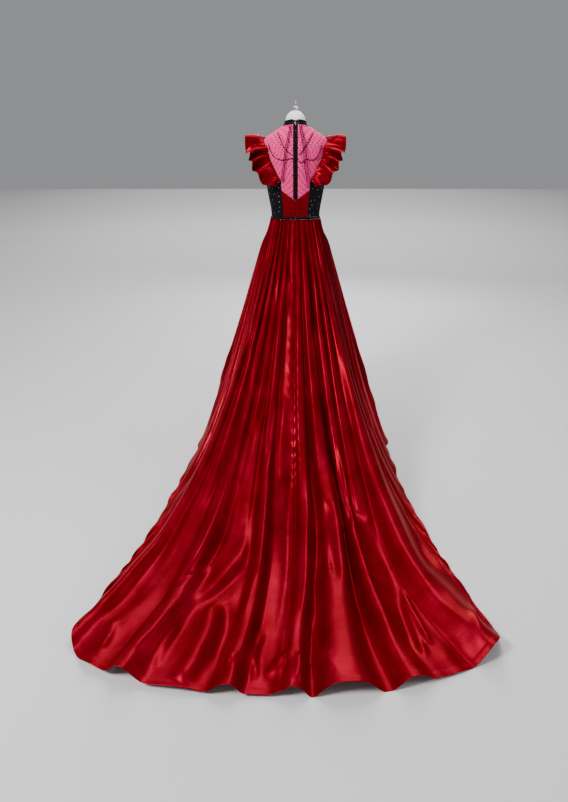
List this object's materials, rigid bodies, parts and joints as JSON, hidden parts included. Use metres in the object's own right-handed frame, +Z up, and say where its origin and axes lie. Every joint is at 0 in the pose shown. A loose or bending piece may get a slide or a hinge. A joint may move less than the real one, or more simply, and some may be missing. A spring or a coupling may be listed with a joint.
{
  "type": "a-line prom dress on a dress form",
  "caption": "Floor-length satin gown with a sheer dotted yoke, flutter sleeves, beaded back and a train, worn by a limbless dress form on a pole stand.",
  "frame": {"origin": "on the floor, in the middle of the underside of the stand's round base, under the pole's axis", "axes": "+Z up along the pole; -Y towards the back of the gown and its train; +Y towards the front; +X to the right seen from behind"},
  "size_m": [1.4118, 2.2975, 1.6853],
  "materials": {
    "red_satin": "glossy deep red satin",
    "red_tulle": "sheer red tulle with small dark dots",
    "black_cloth": "matt black cloth",
    "black_bead": "polished black",
    "zip_silver": "polished silver",
    "white_form": "smooth matt white",
    "finial_metal": "soft silver",
    "stand_metal": "soft silver"
  },
  "bodies": {
    "gown_on_form": {"form_torso": "white_form", "form_neck_cap": "white_form", "form_finial": "finial_metal", "stand_pole": "stand_metal", "stand_base": "stand_metal", "skirt_back_right": "red_satin", "skirt_side_right": "red_satin", "skirt_front": "red_satin", "skirt_side_left": "red_satin", "skirt_back_left": "red_satin", "yoke_back_right": "red_tulle", "yoke_back_left": "red_tulle", "yoke_front": "red_tulle", "bodice_back_right": "red_satin", "bodice_back_left": "red_satin", "bodice_front": "red_satin", "bodice_side_right": "black_cloth", "bodice_side_left": "black_cloth", "collar": "black_cloth", "waist_band": "black_cloth", "zip_tape_right": "black_cloth", "zip_tape_left": "black_cloth", "zip_chain": "black_bead", "zip_slider": "zip_silver", "ruffle_right": "red_satin", "ruffle_left": "red_satin", "beads_left_swag": "black_bead", "beads_left_neck": "black_bead", "beads_left_fall_outer": "black_bead", "beads_left_fall_inner": "black_bead", "beads_right_fall_inner": "black_bead", "beads_right_fall_outer": "black_bead", "beads_right_neck": "black_bead", "beads_right_swag": "black_bead"},
    "zip_tab": {"zip_pull": "zip_silver"}
  },
  "joints": [
    {"name": "zip_tab_hinge", "type": "hinge", "parent": "gown_on_form", "child": "zip_tab", "pos_m": [0, -0.05663, 1.59663], "axis": [-1, 0, 0], "range_deg": [0, 60]}
  ]
}
